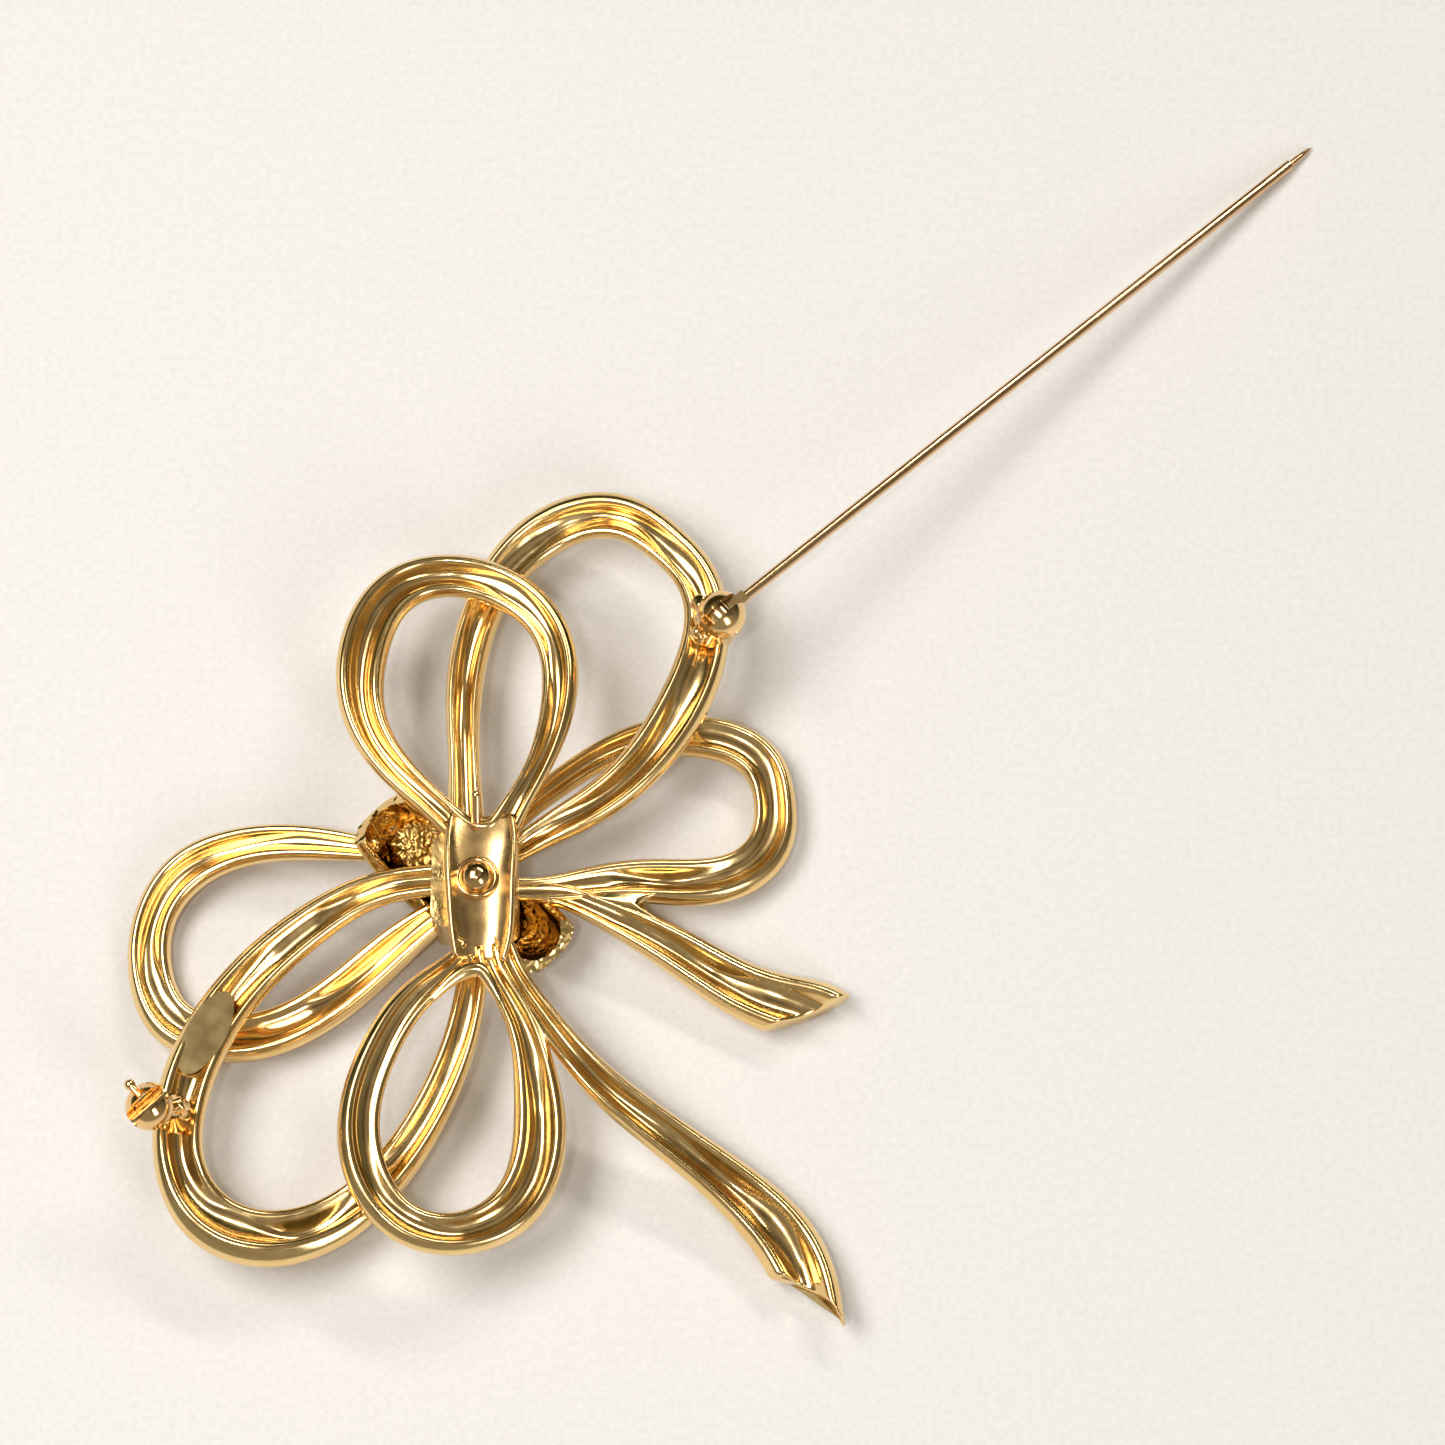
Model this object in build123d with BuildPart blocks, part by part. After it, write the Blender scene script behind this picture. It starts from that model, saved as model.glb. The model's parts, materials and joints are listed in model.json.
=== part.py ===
from build123d import *
import os
from math import atan2, cos, radians, sin

# A ribbon-bow pin lying face down, its open back up, with the pin stem swung open.
# Origin: on the resting plane, under the centre rivet.  +Y towards the upper loop, +Z out of the back.

os.makedirs("parts", exist_ok=True)

# ---------------------------------------------------------------- driving dimensions (mm, degrees)
PIN_HEIGHT = 10.2  # centre line of the closed stem
HINGE_X, HINGE_Y = 19.4, 21.5
CATCH_X, CATCH_Y = -25.3, -19.1
GAP = 0.05  # running clearance
LUG_SIDE_GAP = 0.075  # clearance on each side of the lug in its window

STEM_LENGTH = 68.0  # hinge axis to point
STEM_RADIUS = 0.45
STEM_DROOP = 8.5  # below level, with the open stem's point resting beside the bow
EYE_RADIUS = 0.95
EYE_THICKNESS = 0.96
EYE_TANG = 2.6  # hinge axis to the brazed joint with the wire, just outside the ball
POINT_START = 2.6  # length of the ground end of the wire
POINT_SHOULDER = 0.2
POINT_RADIUS = 0.3
POINT_TAPER = 1.2  # length of the sharpened tip

HINGE_BALL_RADIUS = 2.0
HINGE_RIVET_RADIUS = 0.4

CATCH_BALL_RADIUS = 1.9
ROTOR_RADIUS = 1.15
ROTOR_BORE = 0.55
ROTOR_LENGTH = 1.7
LUG_RADIUS = 0.33
LUG_REACH = 2.35
LUG_END_RADIUS = 0.45
LUG_WINDOW_BELOW = 22  # the lug's window starts this far below level

CORE_X, CORE_Y = -0.25, 0.1
CORE_WIDTH, CORE_LENGTH, CORE_CORNER = 6.9, 7.8, 1.2
CORE_BOTTOM, CORE_TOP = 2.2, 7.7
RIVET_RADIUS = 0.6
RIVET_FOOT = 5.0  # height of the rivet's blind end
RIVET_BALL_RADIUS = 1.35
RIVET_BALL_HEIGHT = 8.7
RING_RADIUS, RING_THICKNESS = 1.5, 0.28
RING_HEIGHT = 8.65
POST_RADIUS = 0.4
POST_LENGTH = 2.2
POST_FOOT = (-0.1, 4.6, 8.7)
POST_DIRECTION = (0, 0.85, 0.53)

PLATE_LENGTH, PLATE_WIDTH, PLATE_THICKNESS = 7.4, 3.1, 0.4
PLATE_CENTRE = (-21.4, -12.1, 6.3)
PLATE_ANGLE = radians(63)  # of its long axis
PLATE_LEAN = radians(10)  # into the loop, like the ribbon there

# Each fitting's solder seat is a cone (foot, foot radius, top radius, height)
# with one lobe (centre, radius).
HINGE_SEAT_FOOT, HINGE_SEAT_CONE = (19.0, 21.3, 6.6), (1.5, 1.25, 2.4)
HINGE_LOBE, HINGE_LOBE_RADIUS = (18.0, 21.8, 8.3), 0.8
CATCH_SEAT_FOOT, CATCH_SEAT_CONE = (-23.7, -18.6, 5.6), (1.5, 1.1, 2.8)
CATCH_LOBE, CATCH_LOBE_RADIUS = (-23.6, -18.3, 8.2), 1.2

# A tail's end is a concave arc through three points, with the rest of the block outside it.
LONG_TAIL_END = [(22.6, -30.7), (26.2, -31.9), (29.6, -36.4)]
LONG_TAIL_OUTSIDE = [(36, -36), (32, -42), (20, -42), (18, -32)]
SHORT_TAIL_END = [(21.8, -10.2), (24.6, -8.9), (28.2, -8.8)]
SHORT_TAIL_OUTSIDE = [(36, -6), (36, -18), (20, -18)]
TAIL_CUT_BOTTOM = -1.0
TAIL_CUT_HEIGHT = 12.0

# ---------------------------------------------------------------- ribbon stations
# Each station of a ribbon is x, y, height of the back rims, ribbon width, roll in degrees.
# Loops run anticlockwise seen from the back, so a positive roll turns the channel into the loop.

UPPER_LOOP = [
    (2.2, 4.6, 8.6, 2.6, 0),
    (3.4, 6.9, 8.8, 2.1, 4),
    (5.1, 10.5, 8.9, 2.3, 12),
    (6.2, 16.3, 8.8, 3.0, 20),
    (5.4, 20.8, 8.4, 3.1, 20),
    (2.1, 24.5, 8.0, 3.4, 12),
    (-3.1, 25.9, 8.0, 3.5, 6),
    (-7.4, 24.0, 8.4, 3.9, 2),
    (-9.4, 19.6, 8.9, 4.1, 0),
    (-9.4, 14.2, 9.1, 3.6, 0),
    (-6.6, 9.1, 9.0, 2.8, 0),
    (-3.6, 6.2, 8.8, 2.3, 0),
    (-1.7, 4.4, 8.6, 2.6, 0),
]
LOWER_LOOP = [
    (-0.8, -5.9, 8.5, 2.2, 0),
    (-2.7, -8.0, 8.6, 2.3, 12),
    (-5.2, -10.5, 8.6, 2.8, 22),
    (-7.1, -13.8, 8.5, 3.1, 28),
    (-8.6, -18.7, 8.2, 3.4, 30),
    (-8.0, -23.6, 7.8, 3.7, 30),
    (-5.3, -27.2, 7.2, 3.5, 24),
    (-1.0, -28.1, 6.7, 3.5, 10),
    (3.2, -26.0, 6.5, 4.1, 0),
    (5.2, -20.8, 6.6, 4.3, -6),
    (4.9, -16.1, 7.1, 3.6, -6),
    (3.6, -11.4, 7.8, 2.5, 0),
    (1.8, -8.3, 8.4, 2.0, 0),
    (0.9, -5.9, 8.5, 2.0, 0),
]
LONG_TAIL = [
    (2.3, -5.4, 8.5, 1.7, 0),
    (3.5, -8.3, 8.2, 1.8, 0),
    (5.9, -11.6, 7.6, 2.1, 0),
    (8.7, -14.9, 6.9, 2.7, 0),
    (12.4, -18.1, 5.9, 3.2, 0),
    (18.2, -22.2, 4.4, 3.8, 0),
    (22.8, -26.0, 3.4, 4.8, 0),
    (25.6, -30.0, 3.2, 5.2, 0),
    (28.2, -37.2, 3.2, 4.6, 0),
]
UPPER_RIGHT_LOOP = [
    (1.9, 2.7, 5.0, 1.9, 0),
    (4.2, 4.2, 5.6, 2.3, 0),
    (7.3, 5.9, 6.2, 2.9, 0),
    (12.2, 9.4, 6.9, 3.6, 0),
    (16.1, 14.8, 7.4, 4.2, 0),
    (18.0, 20.2, 7.6, 3.9, 2),
    (17.6, 25.0, 7.4, 3.5, 12),
    (14.8, 28.8, 6.8, 3.5, 20),
    (9.8, 31.6, 6.0, 3.8, 22),
    (5.2, 30.4, 5.2, 4.0, 20),
    (1.7, 27.2, 4.8, 3.6, 10),
    (-0.7, 22.0, 4.8, 3.2, 0),
    (-1.5, 16.0, 5.0, 2.9, 0),
    (-1.3, 10.0, 5.3, 2.6, 0),
    (-0.6, 3.4, 5.6, 2.0, 0),
]
RIGHT_LOOP = [
    (2.0, 0.4, 5.0, 2.0, 0),
    (5.5, 0.3, 4.7, 2.2, 0),
    (9.0, 1.0, 4.1, 2.9, 0),
    (13.7, 1.5, 3.5, 3.7, 0),
    (18.9, 1.9, 2.9, 4.0, 10),
    (22.8, 4.3, 2.5, 3.8, 12),
    (23.6, 8.5, 2.5, 3.4, 8),
    (22.4, 12.0, 2.7, 3.6, 0),
    (17.7, 13.8, 3.2, 3.5, 0),
    (11.4, 12.8, 3.6, 2.7, 0),
    (7.3, 10.2, 4.2, 2.3, 0),
    (4.2, 7.5, 4.6, 2.0, 0),
    (1.6, 4.0, 4.8, 1.8, 0),
]
SHORT_TAIL = [
    (4.6, 0.1, 4.6, 1.9, 0),
    (7.7, -0.5, 4.4, 2.1, 0),
    (10.6, -1.7, 4.1, 2.7, 0),
    (14.5, -3.6, 3.7, 3.5, 0),
    (18.6, -6.0, 3.2, 4.2, 0),
    (22.5, -8.0, 3.0, 4.8, 0),
    (29.0, -10.6, 3.2, 5.0, 0),
]
LEFT_LOOP = [
    (-6.2, 3.5, 5.0, 1.7, 0),
    (-9.0, 3.7, 4.7, 2.0, 0),
    (-14.3, 4.5, 4.1, 2.9, 0),
    (-19.4, 4.3, 3.5, 3.3, 0),
    (-24.1, 2.1, 3.0, 3.7, 0),
    (-26.3, -1.7, 2.6, 3.4, 0),
    (-26.3, -6.2, 2.4, 3.6, 6),
    (-24.3, -9.9, 2.5, 4.0, 14),
    (-19.8, -11.2, 2.5, 4.0, 10),
    (-15.1, -10.2, 2.8, 3.9, 6),
    (-10.3, -7.2, 3.5, 3.8, 4),
    (-6.3, -3.9, 4.3, 3.3, 0),
    (-3.4, -1.9, 4.9, 2.5, 0),
    (-1.2, -0.4, 5.2, 2.2, 0),
]
LOWER_LEFT_LOOP = [
    (-1.6, 0.8, 6.8, 2.6, 0),
    (-3.9, 0.5, 6.8, 2.6, 0),
    (-8.3, -0.3, 6.6, 2.8, 4),
    (-13.1, -3.0, 6.4, 3.4, 8),
    (-17.8, -7.2, 6.2, 3.8, 10),
    (-21.3, -12.3, 6.2, 4.1, 10),
    (-23.0, -17.3, 6.4, 4.1, 12),
    (-23.1, -21.9, 6.2, 4.0, 16),
    (-20.9, -26.0, 5.4, 4.8, 26),
    (-16.4, -27.6, 4.7, 5.0, 28),
    (-11.1, -26.2, 4.3, 4.3, 20),
    (-6.6, -22.3, 4.5, 3.5, 10),
    (-2.8, -16.2, 5.1, 3.0, 0),
    (-1.0, -11.1, 5.7, 2.7, 0),
    (-0.3, -6.0, 6.2, 2.3, 0),
    (-0.1, -2.9, 6.4, 2.1, 0),
]
BACK_SADDLE = [
    (0.3, 5.2, 8.8, 5.4, 0),
    (0.3, 3.0, 9.2, 6.0, 0),
    (0.3, 0.0, 9.4, 5.7, 0),
    (0.4, -3.4, 9.2, 5.4, 0),
    (0.3, -6.6, 8.8, 4.2, 0),
]
FRONT_KNOT = [
    (-7.6, 5.4, 6.2, 5.6, 0),
    (-5.6, 3.8, 4.4, 6.6, 0),
    (-1.4, 0.9, 3.2, 7.4, 0),
    (2.4, -1.9, 3.6, 7.0, 0),
    (4.9, -4.2, 5.6, 5.8, 0),
]


def ribbon_sections(stations, depth_ratio=0.6, channel_ratio=0.5, crest_ratio=0.66, rim=0.15):
    """Faces square to the smooth path through the stations: a dome in front, an open channel behind."""
    with BuildLine() as path:
        Spline([station[:3] for station in stations])
    spine = path.edge()
    sections = []
    for x, y, z, width, roll in stations:
        travel = spine.tangent_at((x, y, z))
        left = Vector(0, 0, 1).cross(travel)
        square = Plane(origin=(x, y, z), x_dir=left, z_dir=travel) * Rotation(0, 0, -roll)
        half = width / 2
        depth = depth_ratio * width
        crest = crest_ratio * half
        with BuildSketch(square) as section:
            with BuildLine():
                ThreePointArc((crest - rim, -rim), (0, -channel_ratio * depth), (rim - crest, -rim))
                ThreePointArc((rim - crest, -rim), (-crest, 0), (-crest - rim, -rim))
                Spline(
                    (-crest - rim, -rim),
                    (-half, -0.42 * depth),
                    (-0.62 * half, -0.86 * depth),
                    (0, -depth),
                    tangents=[(-0.6, -0.8), (1, 0)],
                )
                Spline(
                    (0, -depth),
                    (0.62 * half, -0.86 * depth),
                    (half, -0.42 * depth),
                    (crest + rim, -rim),
                    tangents=[(1, 0), (-0.6, 0.8)],
                )
                ThreePointArc((crest + rim, -rim), (crest, 0), (crest - rim, -rim))
            make_face()
        sections.append(section.sketch)
    return sections


def butt_against(ribbon, *neighbours):
    """Cut a ribbon back to its soldered neighbours and drop any sliver left in their hollows."""
    add([neighbour.part for neighbour in neighbours], mode=Mode.SUBTRACT)
    add(ribbon.solids().sort_by(SortBy.VOLUME)[-1], mode=Mode.REPLACE)


def beyond_tail(end, outside):
    """Everything past a tail's concave, slanting end, as a tall block to take away."""
    with BuildPart() as block:
        with BuildSketch(Plane.XY.offset(TAIL_CUT_BOTTOM)):
            with BuildLine():
                ThreePointArc(*end)
                Polyline(end[-1], *outside, end[0])
            make_face()
        extrude(amount=TAIL_CUT_HEIGHT)
    return block


# ---------------------------------------------------------------- planes of the pin fittings
# In the level planes local X runs along the closed stem, from the catch towards the hinge.
# In the cross planes local X is the same, local Y is up and local Z is the hinge rivet's axis.

line_angle = atan2(HINGE_Y - CATCH_Y, HINGE_X - CATCH_X)
along = Vector(cos(line_angle), sin(line_angle), 0)
across = Vector(sin(line_angle), -cos(line_angle), 0)
hinge_level = Plane(origin=(HINGE_X, HINGE_Y, PIN_HEIGHT), x_dir=along, z_dir=(0, 0, 1))
hinge_cross = Plane(origin=hinge_level.origin, x_dir=along, z_dir=across)
open_stem = Plane(hinge_cross * Rotation(0, 0, -STEM_DROOP))
catch_level = Plane(origin=(CATCH_X, CATCH_Y, PIN_HEIGHT), x_dir=along, z_dir=(0, 0, 1))
catch_section = Plane(origin=catch_level.origin, x_dir=-across, z_dir=along)

# ---------------------------------------------------------------- knot
with BuildPart(Plane.XY.offset(RIVET_FOOT)) as centre_rivet:
    Cylinder(RIVET_RADIUS, RIVET_BALL_HEIGHT - RIVET_FOOT, align=(Align.CENTER, Align.CENTER, Align.MIN))
    with Locations((0, 0, RIVET_BALL_HEIGHT - RIVET_FOOT)):
        Sphere(RIVET_BALL_RADIUS)
centre_rivet.part.label = "centre_rivet"
export_step(centre_rivet.part, "parts/centre_rivet.step")

with BuildPart() as knot_core:
    with BuildSketch(Plane.XY.offset(CORE_BOTTOM)):
        with Locations((CORE_X, CORE_Y)):
            RectangleRounded(CORE_WIDTH, CORE_LENGTH, CORE_CORNER)
    extrude(amount=CORE_TOP - CORE_BOTTOM)
    butt_against(knot_core, centre_rivet)
knot_core.part.label = "knot_core"
export_step(knot_core.part, "parts/knot_core.step")

with BuildPart() as front_knot:
    loft(ribbon_sections(FRONT_KNOT, depth_ratio=0.42, channel_ratio=0.7, crest_ratio=0.8, rim=0.25))
    butt_against(front_knot, knot_core)
front_knot.part.label = "front_knot"
export_step(front_knot.part, "parts/front_knot.step")

with BuildPart() as back_saddle:
    loft(ribbon_sections(BACK_SADDLE, depth_ratio=0.4, channel_ratio=0.5, crest_ratio=0.88, rim=0.2))
    butt_against(back_saddle, knot_core, centre_rivet)
back_saddle.part.label = "back_saddle"
export_step(back_saddle.part, "parts/back_saddle.step")

with BuildPart() as rivet_ring:
    with Locations((0, 0, RING_HEIGHT)):
        Torus(RING_RADIUS, RING_THICKNESS)
    butt_against(rivet_ring, back_saddle, centre_rivet)
rivet_ring.part.label = "rivet_ring"
export_step(rivet_ring.part, "parts/rivet_ring.step")

# ---------------------------------------------------------------- rear bow
with BuildPart() as upper_loop:
    loft(ribbon_sections(UPPER_LOOP))
    butt_against(upper_loop, back_saddle, knot_core)
upper_loop.part.label = "upper_loop"
export_step(upper_loop.part, "parts/upper_loop.step")

with BuildPart() as lower_loop:
    loft(ribbon_sections(LOWER_LOOP))
    butt_against(lower_loop, back_saddle, knot_core)
lower_loop.part.label = "lower_loop"
export_step(lower_loop.part, "parts/lower_loop.step")

long_tail_waste = beyond_tail(LONG_TAIL_END, LONG_TAIL_OUTSIDE)
with BuildPart() as long_tail:
    loft(ribbon_sections(LONG_TAIL))
    add(long_tail_waste.part, mode=Mode.SUBTRACT)
    butt_against(long_tail, lower_loop, back_saddle)
long_tail.part.label = "long_tail"
export_step(long_tail.part, "parts/long_tail.step")

# A short round-ended post leans up and outwards from the saddle's upper edge.
with BuildPart() as guide_post:
    with Locations(Plane(origin=POST_FOOT, z_dir=POST_DIRECTION)):
        Cylinder(POST_RADIUS, POST_LENGTH, align=(Align.CENTER, Align.CENTER, Align.MIN))
        with Locations((0, 0, POST_LENGTH)):
            Sphere(POST_RADIUS)
    butt_against(guide_post, back_saddle, upper_loop)
guide_post.part.label = "guide_post"
export_step(guide_post.part, "parts/guide_post.step")

# ---------------------------------------------------------------- front bow
with BuildPart() as upper_right_loop:
    loft(ribbon_sections(UPPER_RIGHT_LOOP))
    butt_against(upper_right_loop, knot_core)
upper_right_loop.part.label = "upper_right_loop"
export_step(upper_right_loop.part, "parts/upper_right_loop.step")

with BuildPart() as right_loop:
    loft(ribbon_sections(RIGHT_LOOP))
    butt_against(right_loop, knot_core)
right_loop.part.label = "right_loop"
export_step(right_loop.part, "parts/right_loop.step")

short_tail_waste = beyond_tail(SHORT_TAIL_END, SHORT_TAIL_OUTSIDE)
with BuildPart() as short_tail:
    loft(ribbon_sections(SHORT_TAIL))
    add(short_tail_waste.part, mode=Mode.SUBTRACT)
    butt_against(short_tail, right_loop, knot_core)
short_tail.part.label = "short_tail"
export_step(short_tail.part, "parts/short_tail.step")

with BuildPart() as left_loop:
    loft(ribbon_sections(LEFT_LOOP))
    butt_against(left_loop, knot_core)
left_loop.part.label = "left_loop"
export_step(left_loop.part, "parts/left_loop.step")

# The plate lies along the channel of the lower left loop.
plate_along = Vector(cos(PLATE_ANGLE), sin(PLATE_ANGLE), 0)
plate_across = Vector(sin(PLATE_ANGLE), -cos(PLATE_ANGLE), 0)
plate_normal = plate_across * sin(PLATE_LEAN) + Vector(0, 0, cos(PLATE_LEAN))
plate_plane = Plane(origin=PLATE_CENTRE, x_dir=plate_along, z_dir=plate_normal)
with BuildPart() as oval_plate:
    with BuildSketch(plate_plane):
        Ellipse(PLATE_LENGTH / 2, PLATE_WIDTH / 2)
    extrude(amount=-PLATE_THICKNESS)
oval_plate.part.label = "oval_plate"
export_step(oval_plate.part, "parts/oval_plate.step")

with BuildPart() as lower_left_loop:
    loft(ribbon_sections(LOWER_LEFT_LOOP))
    butt_against(lower_left_loop, knot_core)
lower_left_loop.part.label = "lower_left_loop"
export_step(lower_left_loop.part, "parts/lower_left_loop.step")

# ---------------------------------------------------------------- ball hinge and pin stem
with BuildPart(hinge_level) as hinge_ball:
    Sphere(HINGE_BALL_RADIUS)
    with Locations((0, 0, -EYE_RADIUS - 2 * GAP)):
        Box(
            3 * HINGE_BALL_RADIUS,
            EYE_THICKNESS + 2 * GAP,
            2 * HINGE_BALL_RADIUS,
            align=(Align.CENTER, Align.CENTER, Align.MIN),
            mode=Mode.SUBTRACT,
        )
    with BuildSketch(hinge_cross):
        Circle(HINGE_RIVET_RADIUS)
    extrude(amount=HINGE_BALL_RADIUS, both=True, mode=Mode.SUBTRACT)
hinge_ball.part.label = "hinge_ball"
export_step(hinge_ball.part, "parts/hinge_ball.step")

with BuildPart() as hinge_rivet:
    with BuildSketch(hinge_cross):
        Circle(HINGE_RIVET_RADIUS)
    extrude(amount=HINGE_BALL_RADIUS, both=True)
hinge_rivet.part.label = "hinge_rivet"
export_step(hinge_rivet.part, "parts/hinge_rivet.step")

with BuildPart() as hinge_seat:
    with Locations(HINGE_SEAT_FOOT):
        Cone(*HINGE_SEAT_CONE, align=(Align.CENTER, Align.CENTER, Align.MIN))
    butt_against(hinge_seat, upper_right_loop)
    with Locations(HINGE_LOBE):
        Sphere(HINGE_LOBE_RADIUS)
    with Locations(hinge_level.location):
        Sphere(HINGE_BALL_RADIUS, mode=Mode.SUBTRACT)
hinge_seat.part.label = "hinge_seat"
export_step(hinge_seat.part, "parts/hinge_seat.step")

with BuildPart() as stem_eye:
    with BuildSketch(open_stem):
        Circle(EYE_RADIUS)
        with Locations((EYE_TANG / 2, 0)):
            Rectangle(EYE_TANG, 2 * STEM_RADIUS)
        Circle(HINGE_RIVET_RADIUS + GAP, mode=Mode.SUBTRACT)
    extrude(amount=EYE_THICKNESS / 2, both=True)
stem_eye.part.label = "stem_eye"
export_step(stem_eye.part, "parts/stem_eye.step")

with BuildPart() as pin_stem:
    with BuildSketch(open_stem):
        with BuildLine():
            Polyline(
                (EYE_TANG, 0),
                (EYE_TANG, STEM_RADIUS),
                (STEM_LENGTH - POINT_START, STEM_RADIUS),
                (STEM_LENGTH - POINT_START + POINT_SHOULDER, POINT_RADIUS),
                (STEM_LENGTH - POINT_TAPER, 0.85 * POINT_RADIUS),
                (STEM_LENGTH - POINT_TAPER / 3, 0.55 * POINT_RADIUS),
                (STEM_LENGTH, 0.1 * POINT_RADIUS),
                (STEM_LENGTH, 0),
                close=True,
            )
        make_face()
    revolve(axis=Axis(open_stem.origin, open_stem.x_dir))
pin_stem.part.label = "pin_stem"
export_step(pin_stem.part, "parts/pin_stem.step")

# ---------------------------------------------------------------- ball safety catch
with BuildPart(catch_level) as catch_rotor:
    Cylinder(ROTOR_RADIUS, ROTOR_LENGTH, rotation=(0, 90, 0))
    Cylinder(ROTOR_BORE, ROTOR_LENGTH, rotation=(0, 90, 0), mode=Mode.SUBTRACT)
    Box(
        ROTOR_LENGTH,
        2 * ROTOR_BORE,
        2 * ROTOR_RADIUS,
        align=(Align.CENTER, Align.CENTER, Align.MIN),
        mode=Mode.SUBTRACT,
    )
catch_rotor.part.label = "catch_rotor"
export_step(catch_rotor.part, "parts/catch_rotor.step")

with BuildPart() as catch_lug:
    with BuildSketch(Plane(origin=catch_level.origin, x_dir=along, z_dir=-across)):
        Circle(LUG_RADIUS)
    extrude(amount=LUG_REACH)
    with Locations(catch_level * Location((0, LUG_REACH, 0))):
        Sphere(LUG_END_RADIUS)
    with BuildSketch(catch_section):
        Circle(ROTOR_RADIUS)
    extrude(amount=ROTOR_LENGTH, both=True, mode=Mode.SUBTRACT)
catch_lug.part.label = "catch_lug"
export_step(catch_lug.part, "parts/catch_lug.step")

# The entry slot opens upwards; the lug's window runs from beside the ball up to the slot.
with BuildPart(catch_level) as catch_ball:
    Sphere(CATCH_BALL_RADIUS)
    Cylinder(ROTOR_BORE + GAP, 2 * CATCH_BALL_RADIUS, rotation=(0, 90, 0), mode=Mode.SUBTRACT)
    Cylinder(ROTOR_RADIUS + GAP, ROTOR_LENGTH + 2 * GAP, rotation=(0, 90, 0), mode=Mode.SUBTRACT)
    Box(
        2 * CATCH_BALL_RADIUS,
        2 * (ROTOR_BORE + GAP),
        2 * CATCH_BALL_RADIUS,
        align=(Align.CENTER, Align.CENTER, Align.MIN),
        mode=Mode.SUBTRACT,
    )
    with BuildSketch(catch_section):
        with BuildLine():
            window = PolarLine((0, 0), 2 * CATCH_BALL_RADIUS, -LUG_WINDOW_BELOW)
            Polyline(
                window @ 1,
                (2 * CATCH_BALL_RADIUS, 2 * CATCH_BALL_RADIUS),
                (0, 2 * CATCH_BALL_RADIUS),
                (0, 0),
            )
        make_face()
    extrude(amount=LUG_RADIUS + LUG_SIDE_GAP, both=True, mode=Mode.SUBTRACT)
catch_ball.part.label = "catch_ball"
export_step(catch_ball.part, "parts/catch_ball.step")

with BuildPart() as catch_seat:
    with Locations(CATCH_SEAT_FOOT):
        Cone(*CATCH_SEAT_CONE, align=(Align.CENTER, Align.CENTER, Align.MIN))
    butt_against(catch_seat, lower_left_loop)
    with Locations(CATCH_LOBE):
        Sphere(CATCH_LOBE_RADIUS)
    with Locations(catch_level.location):
        Sphere(CATCH_BALL_RADIUS, mode=Mode.SUBTRACT)
catch_seat.part.label = "catch_seat"
export_step(catch_seat.part, "parts/catch_seat.step")
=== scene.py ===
import json
import math

import bmesh
import bpy
import numpy as np
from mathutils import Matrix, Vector, noise


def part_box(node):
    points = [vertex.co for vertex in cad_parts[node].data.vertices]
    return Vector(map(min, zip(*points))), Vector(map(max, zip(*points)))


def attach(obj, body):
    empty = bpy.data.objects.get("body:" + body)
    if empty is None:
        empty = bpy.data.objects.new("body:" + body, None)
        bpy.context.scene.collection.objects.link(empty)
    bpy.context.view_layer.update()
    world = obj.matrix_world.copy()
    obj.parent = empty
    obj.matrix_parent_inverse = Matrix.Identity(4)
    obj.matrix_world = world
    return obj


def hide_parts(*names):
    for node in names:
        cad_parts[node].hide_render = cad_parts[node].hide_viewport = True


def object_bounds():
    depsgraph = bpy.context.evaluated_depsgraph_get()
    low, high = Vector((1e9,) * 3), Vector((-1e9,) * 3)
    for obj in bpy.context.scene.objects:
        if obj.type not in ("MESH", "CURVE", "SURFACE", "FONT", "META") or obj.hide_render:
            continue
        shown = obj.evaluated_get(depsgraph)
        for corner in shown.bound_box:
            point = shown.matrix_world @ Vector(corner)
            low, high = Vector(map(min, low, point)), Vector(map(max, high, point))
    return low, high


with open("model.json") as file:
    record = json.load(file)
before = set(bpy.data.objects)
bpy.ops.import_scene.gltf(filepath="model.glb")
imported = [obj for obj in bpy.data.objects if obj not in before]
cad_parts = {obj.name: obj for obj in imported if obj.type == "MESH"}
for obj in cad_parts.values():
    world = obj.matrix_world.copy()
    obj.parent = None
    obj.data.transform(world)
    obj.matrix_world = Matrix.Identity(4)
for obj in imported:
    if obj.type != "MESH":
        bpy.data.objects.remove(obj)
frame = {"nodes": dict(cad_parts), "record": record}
cad_low, cad_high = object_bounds()

MM = 0.001
ribbons = {}  # the tops of each built ribbon's rims: 1 for the left one, -1 for the right one

# ---------------------------------------------------------------- sizes, in millimetres
SECTION_STEP = 0.35  # spacing of the sections along a ribbon
RIM_SLOPE = 46  # slope of the channel's wall where it leaves the rim, in degrees
CHANNEL_DRIFT = 1.1  # how much the channel's depth wanders
ROOT_DROP = 1.3  # how far the buried end sinks
ROOT_SLIDE = 0.7  # length over which it sinks
ROOT_REACH = 1.1  # how far a soldered ribbon end runs into its neighbour
TAIL_REACH = 6.0  # extra ribbon past a tail's end, before the end is cut to its arc
WAVE_SIZE = 5.0  # length of the slight hand-polished waves
WAVE_DEPTH = 0.03
STREAK_LENGTH = 10  # of drawn-wire grain, as a multiple of its width


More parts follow.
